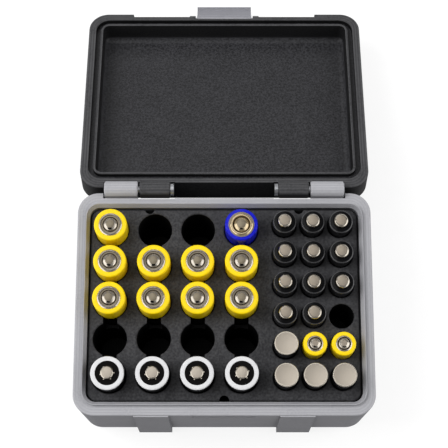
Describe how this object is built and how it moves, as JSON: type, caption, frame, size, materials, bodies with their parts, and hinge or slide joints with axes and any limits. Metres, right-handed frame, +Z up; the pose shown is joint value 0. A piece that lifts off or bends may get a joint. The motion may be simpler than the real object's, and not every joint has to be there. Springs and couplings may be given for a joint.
{
  "type": "battery storage box",
  "caption": "Hinged storage box with a front latch and a lift-out tray of round pockets, in which battery cells of two standard sizes stand upright.",
  "frame": {"origin": "middle of the base's flat underside", "axes": "+Z up; -Y the front, with the latch; +X to the right seen from the front. Stored with the lid open."},
  "size_m": [0.128, 0.2061, 0.055],
  "materials": {
    "grey_shell": "fine printed layers",
    "black_lid": "fine printed layers",
    "black_tray": "matt, printed",
    "grey_latch": "fine printed layers",
    "steel": "bright zinc",
    "yellow_aa_sleeve": "glossy sleeve",
    "blue_aa_sleeve": "glossy sleeve",
    "white_aa_sleeve": "glossy sleeve",
    "black_aaa_sleeve": "glossy sleeve",
    "yellow_aaa_sleeve": "glossy sleeve",
    "inverted_aaa_can": "nickel can end"
  },
  "bodies": {
    "base": {"base_shell": "grey_shell", "hinge_screw_left": "steel", "hinge_screw_right": "steel"},
    "lid": {"lid_shell": "black_lid", "latch_pin": "steel"},
    "latch": {"latch": "grey_latch"},
    "tray": {"cell_tray": "black_tray"},
    "aa_cell_row1_col1": {"aa_cell_row1_col1": "yellow_aa_sleeve"},
    "aa_cell_row2_col1": {"aa_cell_row2_col1": "yellow_aa_sleeve"},
    "aa_cell_row2_col2": {"aa_cell_row2_col2": "yellow_aa_sleeve"},
    "aa_cell_row2_col3": {"aa_cell_row2_col3": "yellow_aa_sleeve"},
    "aa_cell_row2_col4": {"aa_cell_row2_col4": "yellow_aa_sleeve"},
    "aa_cell_row3_col1": {"aa_cell_row3_col1": "yellow_aa_sleeve"},
    "aa_cell_row3_col2": {"aa_cell_row3_col2": "yellow_aa_sleeve"},
    "aa_cell_row3_col3": {"aa_cell_row3_col3": "yellow_aa_sleeve"},
    "aa_cell_row3_col4": {"aa_cell_row3_col4": "yellow_aa_sleeve"},
    "aa_cell_row1_col4": {"aa_cell_row1_col4": "blue_aa_sleeve"},
    "aa_cell_row5_col1": {"aa_cell_row5_col1": "white_aa_sleeve"},
    "aa_cell_row5_col2": {"aa_cell_row5_col2": "white_aa_sleeve"},
    "aa_cell_row5_col3": {"aa_cell_row5_col3": "white_aa_sleeve"},
    "aa_cell_row5_col4": {"aa_cell_row5_col4": "white_aa_sleeve"},
    "aaa_cell_row1_col1": {"aaa_cell_row1_col1": "black_aaa_sleeve"},
    "aaa_cell_row1_col2": {"aaa_cell_row1_col2": "black_aaa_sleeve"},
    "aaa_cell_row1_col3": {"aaa_cell_row1_col3": "black_aaa_sleeve"},
    "aaa_cell_row2_col1": {"aaa_cell_row2_col1": "black_aaa_sleeve"},
    "aaa_cell_row2_col2": {"aaa_cell_row2_col2": "black_aaa_sleeve"},
    "aaa_cell_row2_col3": {"aaa_cell_row2_col3": "black_aaa_sleeve"},
    "aaa_cell_row3_col1": {"aaa_cell_row3_col1": "black_aaa_sleeve"},
    "aaa_cell_row3_col2": {"aaa_cell_row3_col2": "black_aaa_sleeve"},
    "aaa_cell_row3_col3": {"aaa_cell_row3_col3": "black_aaa_sleeve"},
    "aaa_cell_row4_col1": {"aaa_cell_row4_col1": "black_aaa_sleeve"},
    "aaa_cell_row4_col2": {"aaa_cell_row4_col2": "black_aaa_sleeve"},
    "aaa_cell_row5_col2": {"aaa_cell_row5_col2": "yellow_aaa_sleeve"},
    "aaa_cell_row5_col3": {"aaa_cell_row5_col3": "yellow_aaa_sleeve"},
    "aaa_cell_row5_col1": {"aaa_cell_row5_col1": "inverted_aaa_can"},
    "aaa_cell_row6_col1": {"aaa_cell_row6_col1": "inverted_aaa_can"},
    "aaa_cell_row6_col2": {"aaa_cell_row6_col2": "inverted_aaa_can"},
    "aaa_cell_row6_col3": {"aaa_cell_row6_col3": "inverted_aaa_can"}
  },
  "joints": [
    {"name": "lid_hinge", "type": "hinge", "parent": "base", "child": "lid", "pos_m": [0, 0.05025, 0.046], "axis": [-1, 0, 0], "range_deg": [-195, 0]},
    {"name": "latch_hinge", "type": "hinge", "parent": "lid", "child": "latch", "pos_m": [0, 0.14475, 0.01519], "axis": [-1, 0, 0], "range_deg": [-110, 0]},
    {"name": "tray_lift", "type": "slide", "parent": "base", "child": "tray", "axis": [0, 0, 1], "range_m": [0, 0.06]},
    {"name": "aa_cell_row1_col1_lift", "type": "slide", "parent": "tray", "child": "aa_cell_row1_col1", "axis": [0, 0, 1], "range_m": [0, 0.05]},
    {"name": "aa_cell_row2_col1_lift", "type": "slide", "parent": "tray", "child": "aa_cell_row2_col1", "axis": [0, 0, 1], "range_m": [0, 0.05]},
    {"name": "aa_cell_row2_col2_lift", "type": "slide", "parent": "tray", "child": "aa_cell_row2_col2", "axis": [0, 0, 1], "range_m": [0, 0.05]},
    {"name": "aa_cell_row2_col3_lift", "type": "slide", "parent": "tray", "child": "aa_cell_row2_col3", "axis": [0, 0, 1], "range_m": [0, 0.05]},
    {"name": "aa_cell_row2_col4_lift", "type": "slide", "parent": "tray", "child": "aa_cell_row2_col4", "axis": [0, 0, 1], "range_m": [0, 0.05]},
    {"name": "aa_cell_row3_col1_lift", "type": "slide", "parent": "tray", "child": "aa_cell_row3_col1", "axis": [0, 0, 1], "range_m": [0, 0.05]},
    {"name": "aa_cell_row3_col2_lift", "type": "slide", "parent": "tray", "child": "aa_cell_row3_col2", "axis": [0, 0, 1], "range_m": [0, 0.05]},
    {"name": "aa_cell_row3_col3_lift", "type": "slide", "parent": "tray", "child": "aa_cell_row3_col3", "axis": [0, 0, 1], "range_m": [0, 0.05]},
    {"name": "aa_cell_row3_col4_lift", "type": "slide", "parent": "tray", "child": "aa_cell_row3_col4", "axis": [0, 0, 1], "range_m": [0, 0.05]},
    {"name": "aa_cell_row1_col4_lift", "type": "slide", "parent": "tray", "child": "aa_cell_row1_col4", "axis": [0, 0, 1], "range_m": [0, 0.05]},
    {"name": "aa_cell_row5_col1_lift", "type": "slide", "parent": "tray", "child": "aa_cell_row5_col1", "axis": [0, 0, 1], "range_m": [0, 0.05]},
    {"name": "aa_cell_row5_col2_lift", "type": "slide", "parent": "tray", "child": "aa_cell_row5_col2", "axis": [0, 0, 1], "range_m": [0, 0.05]},
    {"name": "aa_cell_row5_col3_lift", "type": "slide", "parent": "tray", "child": "aa_cell_row5_col3", "axis": [0, 0, 1], "range_m": [0, 0.05]},
    {"name": "aa_cell_row5_col4_lift", "type": "slide", "parent": "tray", "child": "aa_cell_row5_col4", "axis": [0, 0, 1], "range_m": [0, 0.05]},
    {"name": "aaa_cell_row1_col1_lift", "type": "slide", "parent": "tray", "child": "aaa_cell_row1_col1", "axis": [0, 0, 1], "range_m": [0, 0.05]},
    {"name": "aaa_cell_row1_col2_lift", "type": "slide", "parent": "tray", "child": "aaa_cell_row1_col2", "axis": [0, 0, 1], "range_m": [0, 0.05]},
    {"name": "aaa_cell_row1_col3_lift", "type": "slide", "parent": "tray", "child": "aaa_cell_row1_col3", "axis": [0, 0, 1], "range_m": [0, 0.05]},
    {"name": "aaa_cell_row2_col1_lift", "type": "slide", "parent": "tray", "child": "aaa_cell_row2_col1", "axis": [0, 0, 1], "range_m": [0, 0.05]},
    {"name": "aaa_cell_row2_col2_lift", "type": "slide", "parent": "tray", "child": "aaa_cell_row2_col2", "axis": [0, 0, 1], "range_m": [0, 0.05]},
    {"name": "aaa_cell_row2_col3_lift", "type": "slide", "parent": "tray", "child": "aaa_cell_row2_col3", "axis": [0, 0, 1], "range_m": [0, 0.05]},
    {"name": "aaa_cell_row3_col1_lift", "type": "slide", "parent": "tray", "child": "aaa_cell_row3_col1", "axis": [0, 0, 1], "range_m": [0, 0.05]},
    {"name": "aaa_cell_row3_col2_lift", "type": "slide", "parent": "tray", "child": "aaa_cell_row3_col2", "axis": [0, 0, 1], "range_m": [0, 0.05]},
    {"name": "aaa_cell_row3_col3_lift", "type": "slide", "parent": "tray", "child": "aaa_cell_row3_col3", "axis": [0, 0, 1], "range_m": [0, 0.05]},
    {"name": "aaa_cell_row4_col1_lift", "type": "slide", "parent": "tray", "child": "aaa_cell_row4_col1", "axis": [0, 0, 1], "range_m": [0, 0.05]},
    {"name": "aaa_cell_row4_col2_lift", "type": "slide", "parent": "tray", "child": "aaa_cell_row4_col2", "axis": [0, 0, 1], "range_m": [0, 0.05]},
    {"name": "aaa_cell_row5_col2_lift", "type": "slide", "parent": "tray", "child": "aaa_cell_row5_col2", "axis": [0, 0, 1], "range_m": [0, 0.05]},
    {"name": "aaa_cell_row5_col3_lift", "type": "slide", "parent": "tray", "child": "aaa_cell_row5_col3", "axis": [0, 0, 1], "range_m": [0, 0.05]},
    {"name": "aaa_cell_row5_col1_lift", "type": "slide", "parent": "tray", "child": "aaa_cell_row5_col1", "axis": [0, 0, 1], "range_m": [0, 0.05]},
    {"name": "aaa_cell_row6_col1_lift", "type": "slide", "parent": "tray", "child": "aaa_cell_row6_col1", "axis": [0, 0, 1], "range_m": [0, 0.05]},
    {"name": "aaa_cell_row6_col2_lift", "type": "slide", "parent": "tray", "child": "aaa_cell_row6_col2", "axis": [0, 0, 1], "range_m": [0, 0.05]},
    {"name": "aaa_cell_row6_col3_lift", "type": "slide", "parent": "tray", "child": "aaa_cell_row6_col3", "axis": [0, 0, 1], "range_m": [0, 0.05]}
  ]
}
